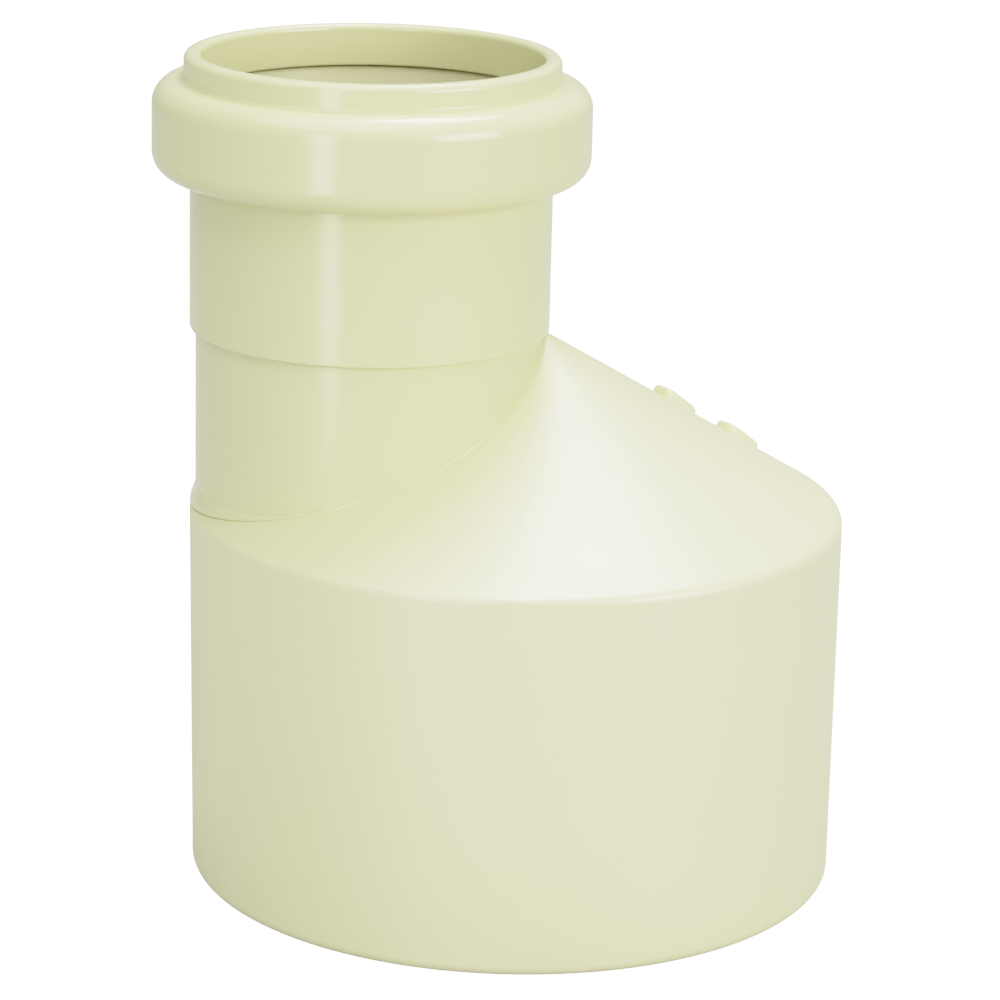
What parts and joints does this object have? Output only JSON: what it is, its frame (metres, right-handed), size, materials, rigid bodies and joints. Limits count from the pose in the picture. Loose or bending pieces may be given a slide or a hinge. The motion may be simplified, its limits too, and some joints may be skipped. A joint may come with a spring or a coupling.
{
  "type": "eccentric reducer",
  "caption": "Push-fit eccentric reducer for plastic drain pipe: a large plain spigot, a sloping shoulder and a small ring-seal socket set off to one side.",
  "frame": {"origin": "centre of the large spigot's end face", "axes": "+Z along both pipe axes, from the large spigot to the small socket; the small socket stands off towards -X"},
  "size_m": [0.1074, 0.1016, 0.1289],
  "materials": {
    "matte_moulding": "fine matte",
    "gloss_moulding": "satin gloss",
    "seal_rubber": "smooth, pale",
    "weld_cement": "gloss"
  },
  "bodies": {
    "root": {"reducer_body": "matte_moulding", "socket_neck": "gloss_moulding", "seal_ring": "seal_rubber", "weld_bead": "weld_cement"}
  },
  "joints": []
}
